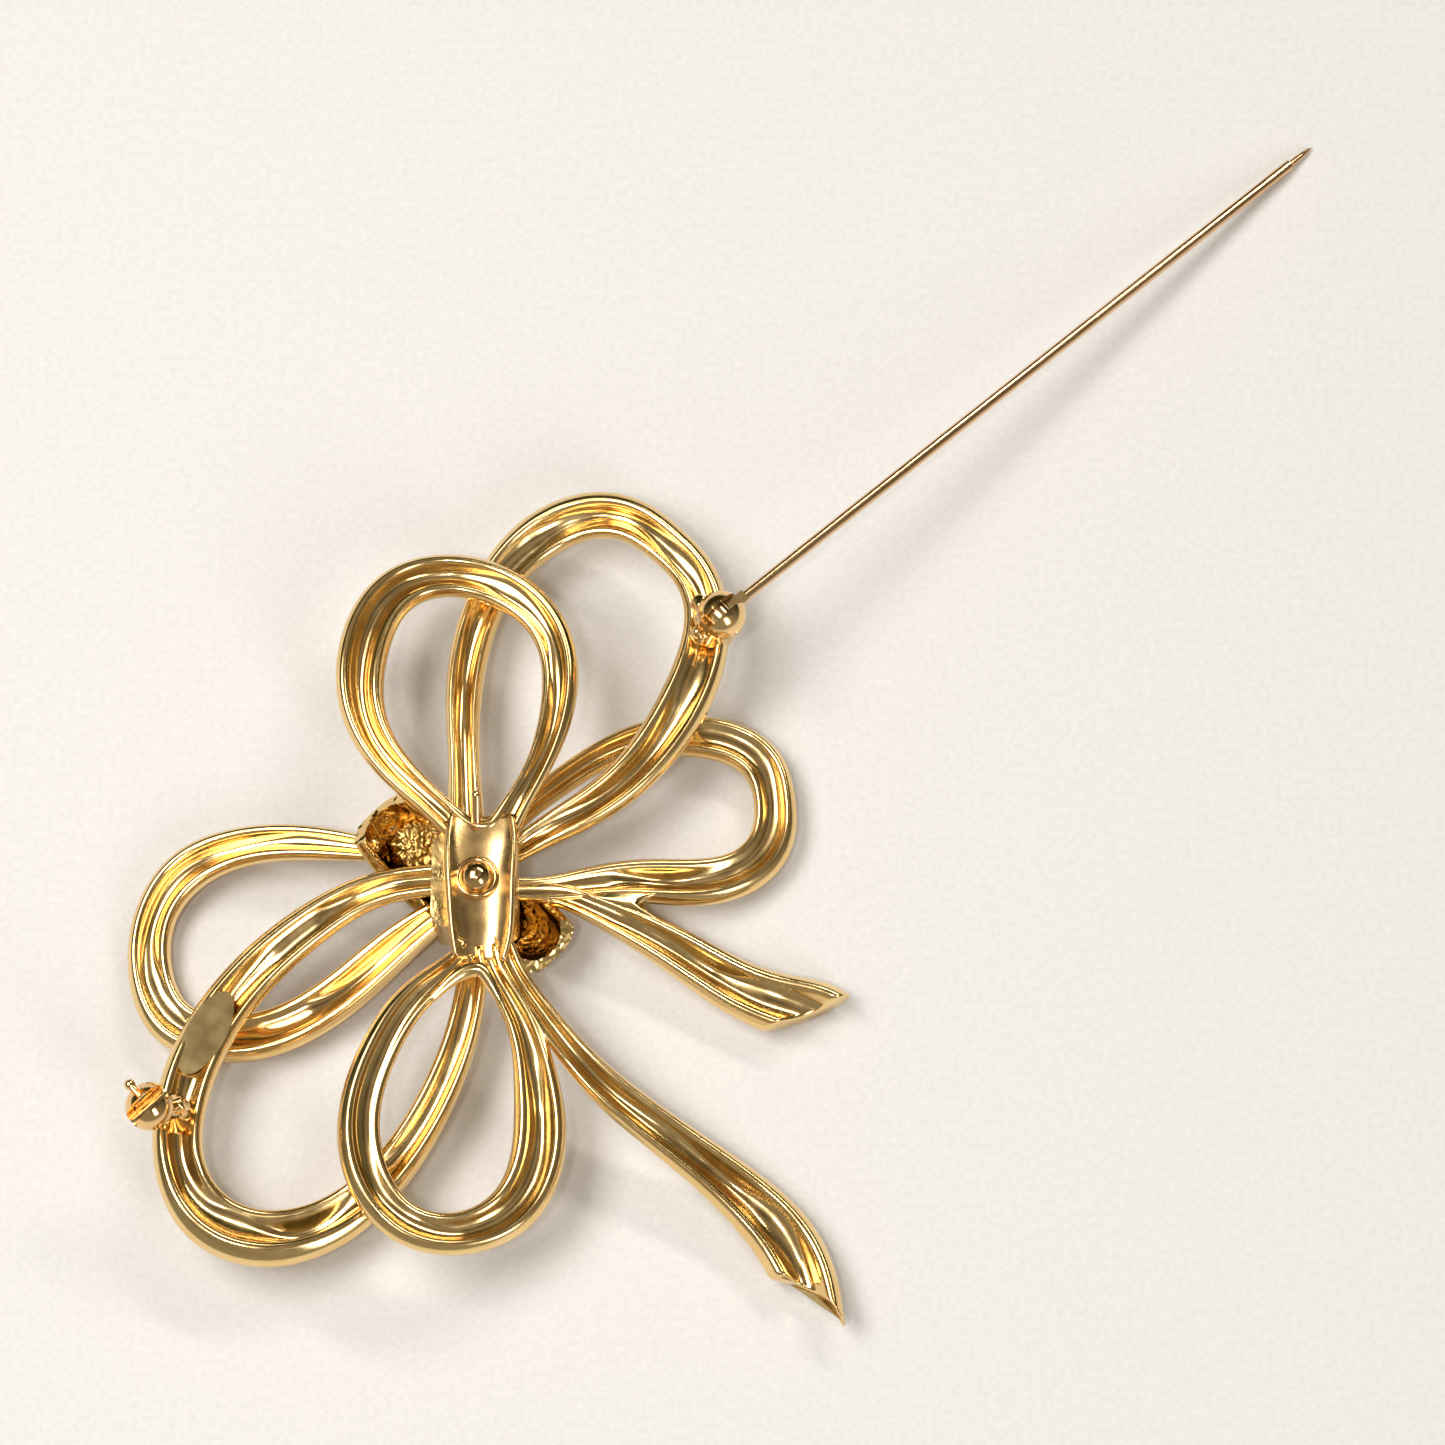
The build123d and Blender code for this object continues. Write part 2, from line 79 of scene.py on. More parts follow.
# ---------------------------------------------------------------- reading the frame
def cad_mesh(node):
    """Points in millimetres and triangles of a CAD node."""
    mesh = frame["nodes"][node].data
    points = np.zeros(len(mesh.vertices) * 3)
    mesh.vertices.foreach_get("co", points)
    triangles = np.zeros(len(mesh.polygons) * 3, int)
    mesh.polygons.foreach_get("vertices", triangles)
    return points.reshape(-1, 3) / MM, triangles.reshape(-1, 3)


def face_labels(point_count, triangles):
    """One label per point, the same for all points of one CAD face."""
    label = np.arange(point_count)
    while True:
        lowest = label[triangles].min(1)
        joined = label.copy()
        for corner in range(3):
            np.minimum.at(joined, triangles[:, corner], lowest)
        joined = joined[joined]
        if (joined == label).all():
            return label
        label = joined


def longest_walk(edges):
    """The longest chain of point keys through a set of edges."""
    neighbours = {}
    for a, b in edges:
        neighbours.setdefault(a, []).append(b)
        neighbours.setdefault(b, []).append(a)
    unused = dict.fromkeys(neighbours)
    best = []
    while unused:
        ends = [key for key in unused if len(neighbours[key]) == 1]
        here = ends[0] if ends else next(iter(unused))
        walk = []
        while here is not None:
            walk.append(here)
            del unused[here]
            onward = [key for key in neighbours[here] if key in unused]
            here = onward[0] if onward else None
        if len(walk) > len(best):
            best = walk
    return best


def seams(node):
    """Lines where two CAD faces meet, longest first, as (length, the two faces, points)."""
    points, triangles = cad_mesh(node)
    label = face_labels(len(points), triangles)
    keys = {}
    key_of = np.array([keys.setdefault(tuple(p), len(keys)) for p in np.round(points, 4)])
    place = np.array(list(keys))
    edges = np.vstack([triangles[:, [0, 1]], triangles[:, [1, 2]], triangles[:, [2, 0]]])
    _, back, count = np.unique(np.sort(edges, 1), axis=0, return_inverse=True, return_counts=True)
    open_edges = edges[count[back.ravel()] == 1]
    first_face = {}
    shared = {}
    for edge, face in zip(map(tuple, np.sort(key_of[open_edges], 1)), label[open_edges[:, 0]]):
        if first_face.get(edge, face) != face:
            shared.setdefault(tuple(sorted((first_face[edge], face))), []).append(edge)
        first_face[edge] = face
    found = []
    for faces, shared_edges in shared.items():
        line = place[longest_walk(shared_edges)]
        found.append((line_length(line), faces, line))
    return sorted(found, key=lambda seam: -seam[0])


def line_length(line):
    return np.linalg.norm(np.diff(line, axis=0), axis=1).sum()


def channel_seams(node):
    """The two long edges of a ribbon's channel, and the channel's edge at its far end."""
    found = seams(node)
    rails = found[:4]
    pairs = []
    for face in {face for _, faces, _ in rails for face in faces}:
        lines = [line for _, faces, line in rails if face in faces]
        if len(lines) == 2:
            middle = lines[0][len(lines[0]) // 2]
            pairs.append((np.linalg.norm(lines[1] - middle, axis=1).min(), face, lines))
    pairs.sort(key=lambda pair: pair[0])
    _, channel, (left, right) = pairs[2]
    if np.linalg.norm(left[0] - right[0]) > np.linalg.norm(left[0] - right[-1]):
        right = right[::-1]
    ends = [line for _, faces, line in found[4:] if channel in faces]
    return left, right, ends


# ---------------------------------------------------------------- lines
def resample(line, count):
    """Evenly spaced points along a line."""
    travelled = np.concatenate([[0], np.cumsum(np.linalg.norm(np.diff(line, axis=0), axis=1))])
    wanted = np.linspace(0, travelled[-1], count)
    return np.stack([np.interp(wanted, travelled, line[:, i]) for i in range(3)], 1)


def smooth(values, passes):
    """Light smoothing along a line that keeps both ends."""
    values = values.copy()
    for _ in range(passes):
        values[1:-1] = 0.25 * values[:-2] + 0.5 * values[1:-1] + 0.25 * values[2:]
    return values


def tangents(line):
    travel = np.gradient(line, axis=0)
    return travel / np.linalg.norm(travel, axis=1)[:, None]


def stretched(line, reach_start, reach_end):
    """The line carried straight on past its two ends."""
    near = min(6, len(line) - 1)
    before = line[0] - line[near]
    after = line[-1] - line[-1 - near]
    start = line[0] + before / np.linalg.norm(before) * reach_start
    end = line[-1] + after / np.linalg.norm(after) * reach_end
    return np.vstack([start, line, end])


def crossings(rail, origins, travel):
    """Where the rail passes the plane square to each origin's direction of travel."""
    dense = resample(rail, int(line_length(rail) / 0.05))
    at = np.linalg.norm(dense[: len(dense) // 4] - origins[0], axis=1).argmin()
    window = 60
    points = []
    for origin, direction in zip(origins, travel):
        low = max(0, at - window)
        near = dense[low : at + window]
        at = low + np.abs((near - origin) @ direction).argmin()
        points.append(dense[at])
    return smooth(np.array(points), 6)


def runs_backwards(node, middle):
    """Whether a line runs away from its root, clockwise round a loop, or up the saddle."""
    if node == "back_saddle":
        return middle[0, 1] < middle[-1, 1]
    if node.endswith("tail"):
        return np.hypot(*middle[0, :2]) > np.hypot(*middle[-1, :2])
    ahead = np.roll(middle, -1, axis=0)
    return (middle[:, 0] * ahead[:, 1] - middle[:, 1] * ahead[:, 0]).sum() < 0


def trimmed(line, start, end):
    """The line without its first and last few millimetres."""
    travelled = np.concatenate([[0], np.cumsum(np.linalg.norm(np.diff(line, axis=0), axis=1))])
    return line[(travelled >= start) & (travelled <= travelled[-1] - end)]


def ribbon_rims(node, reach_start, reach_end):
    """Matching points along the two edges of the ribbon's channel, from root to end."""
    left, right, ends = channel_seams(node)
    if runs_backwards(node, left):
        left, right = left[::-1], right[::-1]
    rails = [stretched(smooth(resample(side, 400), 12), 12, 12) for side in (left, right)]
    count = int(line_length(left) / SECTION_STEP)
    middle = (resample(left, count) + resample(right, count)) / 2
    middle = trimmed(middle, max(0, -reach_start), max(0, -reach_end))
    middle = stretched(middle, max(0.01, reach_start), max(0.01, reach_end))
    for _ in range(3):
        middle = smooth(resample(middle, int(line_length(middle) / SECTION_STEP)), 8)
        left, right = (crossings(rail, middle, tangents(middle)) for rail in rails)
        middle = (left + right) / 2
    return left, right, ends


# ---------------------------------------------------------------- ribbon sections
def bezier(p0, p1, p2, p3, count):
    """Points on a cubic curve, without its last; each p is (across, up) with one value per section."""
    t = np.linspace(0, 1, count, endpoint=False)[None, :]
    weights = ((1 - t) ** 3, 3 * (1 - t) ** 2 * t, 3 * (1 - t) * t**2, t**3)
    parts = [sum(w * p[i][:, None] for w, p in zip(weights, (p0, p1, p2, p3))) for i in (0, 1)]
    return np.stack(parts, -1)


def half_section(crest, depth, channel, rim, bulge):
    """From the channel's middle over the rim and the bulging wall to just before the crown."""
    zero = np.zeros_like(crest)
    slope = math.radians(RIM_SLOPE)
    foot = (crest - rim * math.sin(slope), rim * (math.cos(slope) - 1))
    fall = channel + foot[1]
    floor = bezier(
        (zero, -channel),
        (0.62 * foot[0], -channel),
        (foot[0] - 0.45 * fall * math.cos(slope), foot[1] - 0.45 * fall * math.sin(slope)),
        foot,
        10,
    )
    turn = np.radians(np.linspace(90 + RIM_SLOPE, 36.9, 10))[None, :-1]
    around_rim = rim[:, None]
    rim_arc = np.stack([crest[:, None] + around_rim * np.cos(turn), around_rim * (np.sin(turn) - 1)], -1)
    shoulder = (crest + 0.8 * rim, zero - 0.4 * rim)
    reach = 0.25 * depth
    upper_wall = bezier(
        shoulder,
        (shoulder[0] + 0.6 * reach * 0.8, shoulder[1] - 0.8 * reach * 0.8),
        (bulge, -0.46 * depth + 0.5 * reach),
        (bulge, -0.46 * depth),
        7,
    )
    lower_wall = bezier(
        (bulge, -0.46 * depth), (bulge, -0.78 * depth), (0.6 * bulge, -depth), (zero, -depth), 11
    )
    return np.concatenate([floor, rim_arc, upper_wall, lower_wall], 1)


def closed_section(*sizes):
    """The whole outline: channel middle, left rim, crown, right rim and back."""
    left = half_section(*sizes)
    crown = np.stack([np.zeros_like(sizes[0]), -sizes[1]], -1)[:, None]
    right = left[:, :0:-1] * (-1, 1)
    return np.concatenate([left, crown, right], 1)


def field(points, size, offset=0.0):
    """Smooth random values, about -0.5 to 0.5, over points given in millimetres."""
    flat = points.reshape(-1, 3) / size + offset
    return np.array([noise.noise(Vector(p)) for p in flat]).reshape(points.shape[:-1])


def ribbon_lines(node, reach):
    """The line of the ribbon's channel and its directions, root first and loops anticlockwise."""
    left, right, ends = ribbon_rims(node, *reach)
    middle = (left + right) / 2
    travel = tangents(middle)
    across = left - right
    if np.cross(travel, across)[:, 2].mean() < 0:
        across = -across
    half = smooth(np.linalg.norm(across, axis=1), 10) / 2
    across /= np.linalg.norm(across, axis=1)[:, None]
    return middle, across, np.cross(travel, across), half, ends


def ribbon_grid(
    node, reach, crest_ratio=0.66, depth_ratio=0.6, channel_ratio=0.38, cad_rim=0.15, rim_share=0.32
):
    """Sections by outline points of a ribbon laid over the CAD ribbon's channel edges."""
    middle, across, up, half, ends = ribbon_lines(node, reach)
    crest = half + cad_rim
    bulge = crest / crest_ratio
    depth = depth_ratio * 2 * bulge
    rim = np.clip(rim_share * crest, 0.2, 0.5)
    channel = channel_ratio * depth * (1 + CHANNEL_DRIFT * field(middle, 7.0))
    outline = closed_section(crest, depth, np.maximum(channel, 1.2 * rim), rim, bulge)
    base = middle + up * cad_rim
    grid = base[:, None] + outline[..., :1] * across[:, None] + outline[..., 1:] * up[:, None]
    ribbons[node] = {1: base + crest[:, None] * across, -1: base - crest[:, None] * across}
    sunk = root_drop(middle, reach)
    grid = grid + up[:, None] * (WAVE_DEPTH * field(grid, WAVE_SIZE))[..., None]
    return grid - sunk[:, None, None] * np.array((0, 0, 1)), ends


def root_drop(middle, reach):
    """How far each section sinks, so that a root's rims vanish below its neighbour's surface."""
    travelled = np.concatenate([[0], np.cumsum(np.linalg.norm(np.diff(middle, axis=0), axis=1))])
    drop = np.zeros(len(middle))
    for hidden, distance in ((reach[0], travelled), (reach[1], travelled[-1] - travelled)):
        if hidden == ROOT_REACH:
            drop += ROOT_DROP * np.clip(1 - distance / ROOT_SLIDE, 0, 1)
    return drop


def cut_to_arc(grid, ends):
    """Slide the last sections along the ribbon until they meet the tail's concave end."""
    edge = max(ends, key=lambda line: np.linalg.norm(line.mean(0) - grid[0].mean(0)))
    a, b, c = edge[0][:2], edge[len(edge) // 2][:2], edge[-1][:2]
    rows = np.array([b - a, c - a])
    centre = np.linalg.solve(rows, [rows[0] @ (a + b) / 2, rows[1] @ (a + c) / 2])
    radius = np.linalg.norm(a - centre)
    out = grid.copy()
    count = len(grid)
    keep = int(count * 0.55)
    for v in range(grid.shape[1]):
        line = grid[:, v]
        side = np.linalg.norm(line[:, :2] - centre, axis=1) - radius
        change = np.nonzero(side[keep:] * side[keep] < 0)[0]
        stop = keep + change[0] if len(change) else count - 1
        share = side[stop - 1] / (side[stop - 1] - side[stop])
        wanted = np.linspace(keep, stop - 1 + share, count - keep)
        for i in range(3):
            out[keep:, v, i] = np.interp(wanted, np.arange(count), line[:, i])
    return out


def rounded_end(grid, radius=0.4, rings=7):
    """The last section drawn in along a quarter circle, so that a tail's cut edge is rounded over."""
    along = (grid[-1] - grid[-4]).mean(0)
    along /= np.linalg.norm(along)
    grid = grid[:-2]
    last = grid[-1]
    travel = np.roll(last, -1, 0) - np.roll(last, 1, 0)
    face = np.cross(np.roll(last, 1, 0), last).sum(0)
    inward = np.cross(face, travel)
    inward /= np.linalg.norm(inward, axis=1)[:, None] + 1e-9
    turn = np.linspace(0, np.pi / 2, rings + 1)[1:, None, None]
    cap = last + along * radius * np.sin(turn) + inward * radius * (1 - np.cos(turn))
    return np.concatenate([grid, cap])


# ---------------------------------------------------------------- pieces
def add_piece(name, points, faces, material, nodes=(), body="bow"):
    mesh = bpy.data.meshes.new(name)
    mesh.from_pydata([tuple(p) for p in np.asarray(points) * MM], [], faces)
    mesh.validate()
    edit = bmesh.new()
    edit.from_mesh(mesh)
    bmesh.ops.recalc_face_normals(edit, faces=edit.faces)
    edit.to_mesh(mesh)
    edit.free()
    mesh.polygons.foreach_set("use_smooth", [True] * len(mesh.polygons))
    piece = bpy.data.objects.new(name, mesh)
    bpy.context.scene.collection.objects.link(piece)
    piece.data.materials.append(material)
    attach(piece, body)
    if nodes:
        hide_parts(*nodes)
    return piece


def grid_faces(count, around):
    faces = []
    for i in range(count - 1):
        for j in range(around):
            k = (j + 1) % around
            faces.append((i * around + j, i * around + k, (i + 1) * around + k, (i + 1) * around + j))
    faces.append(tuple(range(around)))
    faces.append(tuple((count - 1) * around + j for j in range(around)))
    return faces


def grid_piece(name, grid, material, nodes=(), body="bow"):
    count, around = grid.shape[:2]
    return add_piece(name, grid.reshape(-1, 3), grid_faces(count, around), material, nodes, body)


def ribbon_piece(node, material, reach=(ROOT_REACH, ROOT_REACH), tail=False, **shape):
    grid, ends = ribbon_grid(node, reach, **shape)
    if tail:
        grid = rounded_end(cut_to_arc(grid, ends))
    return grid_piece(node + "_ribbon", grid, material, [node])


def bead(name, line, radius, material=None, step=0.15, passes=25):
    """A rounded ridge with its top on a line; radius holds the values at its start, middle and end."""
    line = smooth(resample(line, int(line_length(line) / step)), passes)
    share = np.linspace(0, 1, len(line))
    radii = np.interp(share, (0, 0.5, 1), radius)
    travel = tangents(line)
    side = np.cross(travel, (0, 0, 1))
    side /= np.linalg.norm(side, axis=1)[:, None]
    up = np.cross(side, travel)
    centre = line - up * radii[:, None]
    reach = np.minimum(share, 1 - share) * line_length(line) / radii
    radii = radii * np.sqrt(np.clip(1 - (1 - np.minimum(reach, 1)) ** 2, 0.02, 1))
    turn = np.linspace(0, 2 * np.pi, 24, endpoint=False)
    rings = np.cos(turn)[:, None] * side[:, None] + np.sin(turn)[:, None] * up[:, None]
    grid = centre[:, None] + radii[:, None, None] * rings
    return grid_piece(name, grid, material or polished)


def lip(name, loop, start, reach, radius, passes, lift=0.0):
    """The rim that arches across between a loop's two inner rims where its legs meet the saddle."""
    inner = ribbons[loop][1]
    skip, count = int(start / SECTION_STEP), int(reach / SECTION_STEP)
    one_leg, other_leg = inner[skip : count + 1], inner[::-1][skip : count + 1]
    line = np.vstack([one_leg[::-1], other_leg])
    line[:, 2] += lift * np.sin(np.linspace(0, np.pi, len(line)))
    return bead(name, line, radius, passes=passes)


def web(name, rim_a, rim_b, middle_reach, edge_reach, thickness=1.0):
    """Metal filling the fork between two rims that start together, with a rounded crotch."""
    rows, columns = 60, 13
    lengths = [line_length(rim_a), line_length(rim_b)]
    dense = [resample(rim, 400) for rim in (rim_a, rim_b)]
    u = np.linspace(0, 1, rows)
    v = np.linspace(0, 1, columns)
    reach = middle_reach + (edge_reach - middle_reach) * (2 * v - 1) ** 2
    top = np.zeros((rows, columns, 3))
    for j in range(columns):
        spot = [np.clip(u * reach[j] / length, 0, 1) * 399 for length in lengths]
        a, b = (
            np.stack([np.interp(at, np.arange(400), line[:, i]) for i in range(3)], 1)
            for at, line in zip(spot, dense)
        )
        top[:, j] = a * (1 - v[j]) + b * v[j]
    gap = np.linalg.norm(top[:, 0] - top[:, -1], axis=1)[:, None]
    dome = np.minimum(0.10, 0.06 * gap) * np.sin(np.pi * v)[None, :]
    end = np.sqrt(np.clip(1 - (np.maximum(0, u - 0.93) / 0.07) ** 2, 0, 1))[:, None]
    upper, lower = top.copy(), top.copy()
    upper[..., 2] += dome - 0.5 * thickness * (1 - end)
    lower[..., 2] -= thickness - 0.5 * thickness * (1 - end)
    return grid_piece(name, np.concatenate([upper, lower[:, ::-1]], 1), polished)


def lump(name, centre, radius, seed, material, body="bow", squash=(1, 1, 1), rough=0.0):
    """A blob of solder, or of rough cast metal."""
    edit = bmesh.new()
    bmesh.ops.create_icosphere(edit, subdivisions=5, radius=1)
    points = np.array([v.co for v in edit.verts])
    faces = [tuple(v.index for v in face.verts) for face in edit.faces]
    edit.free()
    swell = 1 + 0.28 * field(points, 0.9, seed) + rough * (np.abs(field(points, 0.28, seed)) - 0.2)
    surface = np.array(centre) + points * swell[:, None] * radius * np.array(squash)
    return add_piece(name, surface, faces, material, body=body)


# ---------------------------------------------------------------- materials
def node_tree(name):
    material = bpy.data.materials.new(name)
    material.use_nodes = True
    nodes = material.node_tree.nodes
    return material, nodes, material.node_tree.links, nodes["Principled BSDF"]


def noise_node(nodes, links, coordinates, size_mm, detail, along=None):
    """Noise of the given size, drawn out into streaks if a direction is given."""
    texture = nodes.new("ShaderNodeTexNoise")
    texture.inputs["Scale"].default_value = 1 / (size_mm * MM)
    texture.inputs["Detail"].default_value = detail
    if along:
        mapping = nodes.new("ShaderNodeMapping")
        mapping.vector_type = "TEXTURE"
        mapping.inputs["Rotation"].default_value = along.to_track_quat("X", "Z").to_euler()
        mapping.inputs["Scale"].default_value = (STREAK_LENGTH, 1, 1)
        links.new(coordinates, mapping.inputs["Vector"])
        coordinates = mapping.outputs["Vector"]
    links.new(coordinates, texture.inputs["Vector"])
    return texture


def ramp(nodes, links, value, stops):
    node = nodes.new("ShaderNodeValToRGB")
    elements = node.color_ramp.elements
    while len(elements) < len(stops):
        elements.new(0.5)
    for element, (position, color) in zip(elements, stops):
        element.position = position
        element.color = (*color, 1)
    links.new(value, node.inputs["Fac"])
    return node


def gold(
    name,
    light,
    deep,
    polish,
    rough_spread,
    grain_mm=0.25,
    grain=0.02,
    waves=0.05,
    along=None,
    cast_inside=False,
):
    """Gold alloy: colour drifts between light and deep and edges wear paler; hollows keep the drifting
    colour.
    """
    material, nodes, links, shader = node_tree(name)
    coordinates = nodes.new("ShaderNodeTexCoord").outputs["Object"]
    patches = noise_node(nodes, links, coordinates, 6.0, 3)
    color = ramp(nodes, links, patches.outputs["Fac"], [(0.3, deep), (0.7, light)])
    edges = nodes.new("ShaderNodeNewGeometry").outputs["Pointiness"]
    wear = ramp(nodes, links, edges, [(0.52, (0, 0, 0)), (0.66, (0.35, 0.35, 0.35))])
    worn = nodes.new("ShaderNodeMix")
    worn.data_type = "RGBA"
    worn.inputs["B"].default_value = (1.0, 0.82, 0.48, 1)
    links.new(wear.outputs["Color"], worn.inputs["Factor"])
    links.new(color.outputs["Color"], worn.inputs["A"])
    links.new(worn.outputs["Result"], shader.inputs["Base Color"])
    smear = noise_node(nodes, links, coordinates, 1.6, 6, along)
    rough = nodes.new("ShaderNodeMapRange")
    rough.inputs["From Min"].default_value = 0.35
    rough.inputs["From Max"].default_value = 0.75
    rough.inputs["To Min"].default_value = polish
    rough.inputs["To Max"].default_value = polish + rough_spread
    links.new(smear.outputs["Fac"], rough.inputs["Value"])
    links.new(rough.outputs["Result"], shader.inputs["Roughness"])
    if cast_inside:
        facing = nodes.new("ShaderNodeSeparateXYZ")
        links.new(nodes.new("ShaderNodeNewGeometry").outputs["Normal"], facing.inputs["Vector"])
        inside = nodes.new("ShaderNodeMapRange")
        inside.inputs["From Min"].default_value = 0.45
        inside.inputs["From Max"].default_value = 0.75
        inside.inputs["To Min"].default_value = waves
        inside.inputs["To Max"].default_value = 1.0
        links.new(facing.outputs["Z"], inside.inputs["Value"])
    shader.inputs["Metallic"].default_value = 1
    fine = noise_node(nodes, links, coordinates, grain_mm, 4, along)
    fine_bump = nodes.new("ShaderNodeBump")
    fine_bump.inputs["Strength"].default_value = grain
    fine_bump.inputs["Distance"].default_value = 0.05 * MM
    links.new(fine.outputs["Fac"], fine_bump.inputs["Height"])
    broad = noise_node(nodes, links, coordinates, 0.9 if cast_inside else 2.2, 1)
    broad_bump = nodes.new("ShaderNodeBump")
    broad_bump.inputs["Strength"].default_value = waves
    broad_bump.inputs["Distance"].default_value = 0.4 * MM
    links.new(broad.outputs["Fac"], broad_bump.inputs["Height"])
    links.new(fine_bump.outputs["Normal"], broad_bump.inputs["Normal"])
    if cast_inside:
        links.new(inside.outputs["Result"], broad_bump.inputs["Strength"])
    links.new(broad_bump.outputs["Normal"], shader.inputs["Normal"])
    return material


def floor_material():
    material, nodes, links, shader = node_tree("pale_floor")
    coordinates = nodes.new("ShaderNodeTexCoord").outputs["Object"]
    grain = noise_node(nodes, links, coordinates, 0.5, 3)
    color = ramp(nodes, links, grain.outputs["Fac"], [(0.3, (0.72, 0.71, 0.70)), (0.7, (0.78, 0.77, 0.76))])
    links.new(color.outputs["Color"], shader.inputs["Base Color"])
    shader.inputs["Roughness"].default_value = 0.7
    return material


polished = gold("polished_gold", (0.93, 0.69, 0.33), (0.85, 0.58, 0.24), 0.14, 0.10, grain=0.03)
burnished = gold("burnished_gold", (0.90, 0.65, 0.31), (0.80, 0.53, 0.23), 0.22, 0.12, grain=0.05)
cast = gold(
    "cast_gold", (0.78, 0.54, 0.19), (0.50, 0.31, 0.09), 0.22, 0.2, grain_mm=0.35, grain=1.0, waves=0.8
)
findings = gold("findings_gold", (0.92, 0.64, 0.30), (0.80, 0.50, 0.21), 0.10, 0.12, waves=0.08)
knot = gold("knot_gold", (0.90, 0.62, 0.23), (0.60, 0.38, 0.11), 0.10, 0.10, waves=0.10, cast_inside=True)
stem_axis = Vector(next(mount["axis"] for mount in frame["record"]["mounts"] if mount["name"] == "stem"))
drawn = gold(
    "drawn_gold",
    (0.86, 0.56, 0.32),
    (0.76, 0.44, 0.23),
    0.16,
    0.14,
    grain_mm=0.12,
    grain=0.12,
    along=stem_axis,
)
satin = gold("satin_gold", (0.60, 0.42, 0.16), (0.48, 0.32, 0.11), 0.26, 0.12, grain_mm=0.15, grain=0.15)

# ---------------------------------------------------------------- ribbons
for loop in ("upper_loop", "lower_loop", "upper_right_loop", "right_loop", "lower_left_loop"):
    ribbon_piece(loop, polished)
ribbon_piece("left_loop", polished, reach=(-1.8, ROOT_REACH))
for tail in ("long_tail", "short_tail"):
    ribbon_piece(tail, polished, reach=(ROOT_REACH, TAIL_REACH), tail=True)
ribbon_piece(
    "back_saddle", burnished, reach=(0.1, 0.1), crest_ratio=0.88, depth_ratio=0.4, cad_rim=0.2, rim_share=0.1
)

# ---------------------------------------------------------------- joins between ribbons
lip("upper_lip", "upper_loop", 0, 3.2, (0.3, 0.55, 0.3), 30)
lip("lower_lip", "lower_loop", 2.2, 5.6, (0.3, 0.7, 0.3), 50, lift=0.3)
saddle = ribbons["back_saddle"]
count = int(2.5 / SECTION_STEP)
above, below, tail = ribbons["upper_loop"][-1], ribbons["lower_loop"][-1], ribbons["long_tail"][1]
left_edge = np.vstack([above[-count:], saddle[-1][4:-4], below[:count]])
bead("left_edge", left_edge, (0.22, 0.24, 0.22))
right_edge = np.vstack([above[count::-1], saddle[1][4:-4], tail[:count]])
bead("right_edge", right_edge, (0.22, 0.26, 0.22))
web("long_tail_web", ribbons["lower_loop"][-1][::-1], ribbons["long_tail"][-1], 9.3, 12.0)
web("short_tail_web", ribbons["right_loop"][-1], ribbons["short_tail"][1], 10.5, 13.0)

# ---------------------------------------------------------------- solder at the fittings
def box_mm(node):
    low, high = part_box(node)
    return np.array(low) / MM, np.array(high) / MM


core_low, core_high = box_mm("knot_core")
hinge = sum(box_mm("hinge_ball")) / 2
catch = sum(box_mm("catch_ball")) / 2
nugget_centre = (core_low[0] - 1.2, core_high[1] + 0.2, core_low[2] + 1.8)
lump("cast_nugget", nugget_centre, 1.7, 2.0, cast, squash=(1.1, 1, 0.6), rough=0.5)
# The solder beside each ball stays below the closed stem.
lump("hinge_solder_upper", hinge + (-1.75, 1.3, -0.9), 0.75, 1.0, findings)
lump("hinge_solder_lower", hinge + (-1.75, -0.9, -2.1), 0.8, 4.0, findings)
lump("catch_solder", catch + (2.0, 0.5, -1.9), 0.9, 7.0, findings)

# ---------------------------------------------------------------- carried-over nodes
finish_of = {
    "gold": polished,
    "cast_gold": cast,
    "findings_gold": findings,
    "drawn_gold": drawn,
    "satin_gold": satin,
}
for part in frame["record"]["subparts"]:
    carried = frame["nodes"][part["node"]]
    carried.data.materials.clear()
    carried.data.materials.append(knot if part["node"] == "front_knot" else finish_of[part["material_slot"]])


# ---------------------------------------------------------------- floor, light, camera
def add_floor():
    """A wide floor, just under the lowest piece."""
    size = 20 * (cad_high - cad_low).length
    mesh = bpy.data.meshes.new("floor")
    corners = [(-size, -size, 0), (size, -size, 0), (size, size, 0), (-size, size, 0)]
    mesh.from_pydata(corners, [], [(0, 1, 2, 3)])
    floor = bpy.data.objects.new("floor", mesh)
    floor.location.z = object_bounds()[0].z - 0.02 * MM
    bpy.context.scene.collection.objects.link(floor)
    floor.data.materials.append(floor_material())


def aim(obj, target):
    obj.rotation_mode = "QUATERNION"
    obj.rotation_quaternion = (target - obj.location).to_track_quat("-Z", "Y")


def soft_light(name, offset, size, power, color=(1, 1, 1)):
    """A soft rectangular lamp at an offset from the object's middle, aimed at it."""
    data = bpy.data.lights.new(name, "AREA")
    data.shape = "RECTANGLE"
    data.size, data.size_y = size
    data.energy = power
    data.color = color
    light = bpy.data.objects.new(name, data)
    light.location = middle_point + Vector(offset)
    bpy.context.scene.collection.objects.link(light)
    aim(light, middle_point)


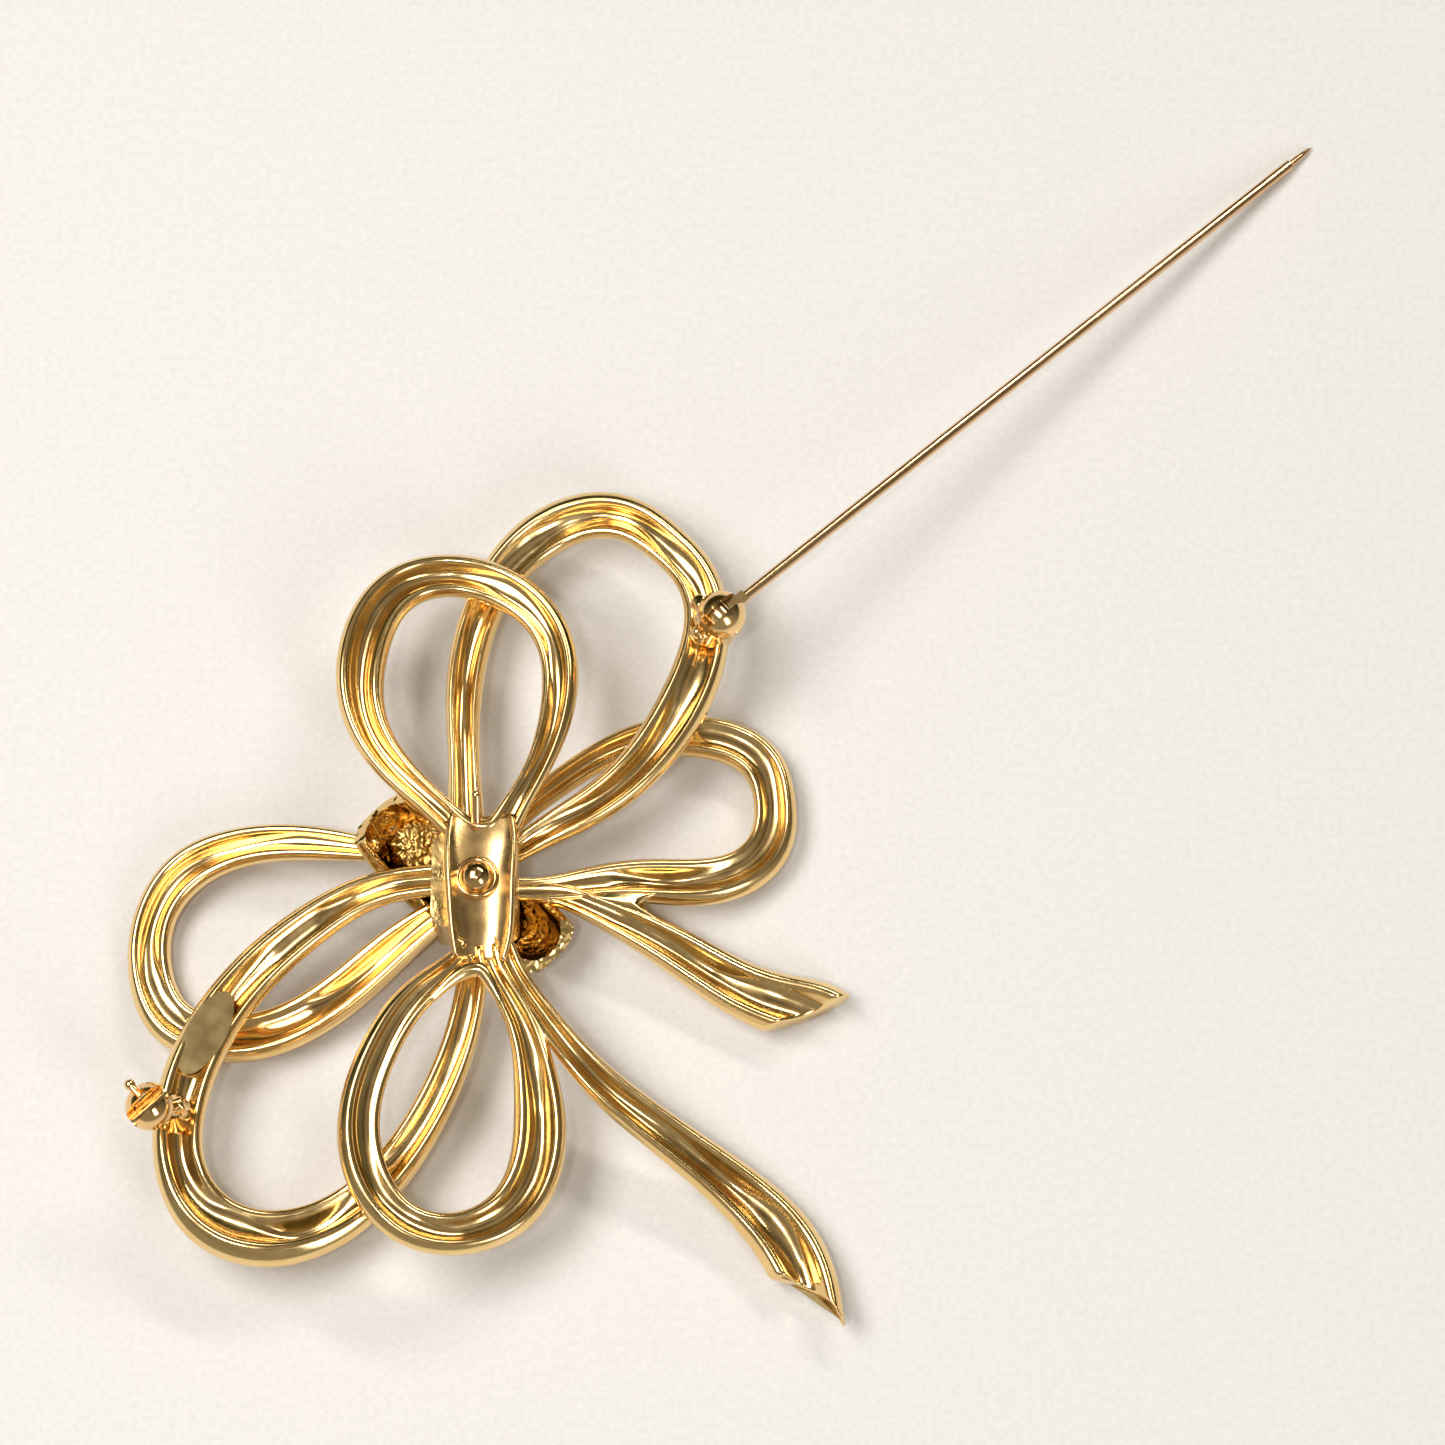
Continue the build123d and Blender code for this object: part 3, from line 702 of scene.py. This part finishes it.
def studio():
    """A dim warm room overhead, an olive shade beyond the bow and a pale one in front of it."""
    world = bpy.data.worlds.new("studio")
    bpy.context.scene.world = world
    world.use_nodes = True
    nodes, links = world.node_tree.nodes, world.node_tree.links
    background = nodes["Background"]
    direction = nodes.new("ShaderNodeTexCoord").outputs["Generated"]
    split = nodes.new("ShaderNodeSeparateXYZ")
    links.new(direction, split.inputs["Vector"])
    ahead = nodes.new("ShaderNodeMapRange")
    ahead.inputs["From Min"].default_value = -0.6
    ahead.inputs["From Max"].default_value = 0.5
    links.new(split.outputs["Y"], ahead.inputs["Value"])
    side_colors = [(0.0, (0.55, 0.51, 0.43)), (1.0, (0.05, 0.06, 0.015))]
    sides = ramp(nodes, links, ahead.outputs["Result"], side_colors)
    height = ramp(nodes, links, split.outputs["Z"], [(0.45, (0, 0, 0)), (0.85, (1, 1, 1))])
    room = nodes.new("ShaderNodeTexNoise")
    room.inputs["Scale"].default_value = 2.2
    room.inputs["Detail"].default_value = 2
    links.new(direction, room.inputs["Vector"])
    overhead = ramp(
        nodes, links, room.outputs["Fac"], [(0.38, (0.10, 0.075, 0.045)), (0.6, (0.56, 0.48, 0.39))]
    )
    mix = nodes.new("ShaderNodeMix")
    mix.data_type = "RGBA"
    links.new(height.outputs["Color"], mix.inputs["Factor"])
    links.new(sides.outputs["Color"], mix.inputs["A"])
    links.new(overhead.outputs["Color"], mix.inputs["B"])
    links.new(mix.outputs["Result"], background.inputs["Color"])
    background.inputs["Strength"].default_value = 0.8


add_floor()
studio()
middle_point = (cad_low + cad_high) / 2
soft_light("window", (-0.25, 0.02, 0.42), (0.34, 0.20), 2.6, (1, 0.97, 0.93))
soft_light("far_strip", (0.16, 0.30, 0.34), (0.30, 0.05), 1.0, (1, 0.95, 0.86))
soft_light("near_strip", (0.20, -0.30, 0.26), (0.12, 0.24), 0.7)
soft_light("small_lamp", (-0.06, -0.16, 0.46), (0.04, 0.04), 0.5)

# The camera looks down at the back of the bow, nearly square to it.
VIEW_HEIGHT = math.radians(72)
VIEW_DISTANCE = 0.46
camera_data = bpy.data.cameras.new("camera")
camera = bpy.data.objects.new("camera", camera_data)
bpy.context.scene.collection.objects.link(camera)
back = Vector((0, -math.cos(VIEW_HEIGHT), math.sin(VIEW_HEIGHT)))
target_point = middle_point + Vector((-0.92, -2.47, 3.32)) * MM
camera.location = target_point + back * VIEW_DISTANCE
aim(camera, target_point)
camera_data.sensor_width = 36
camera_data.lens = 36 * VIEW_DISTANCE / 0.1156
bpy.context.scene.camera = camera
bpy.context.scene.view_settings.view_transform = "Standard"
bpy.context.scene.view_settings.exposure = -0.55
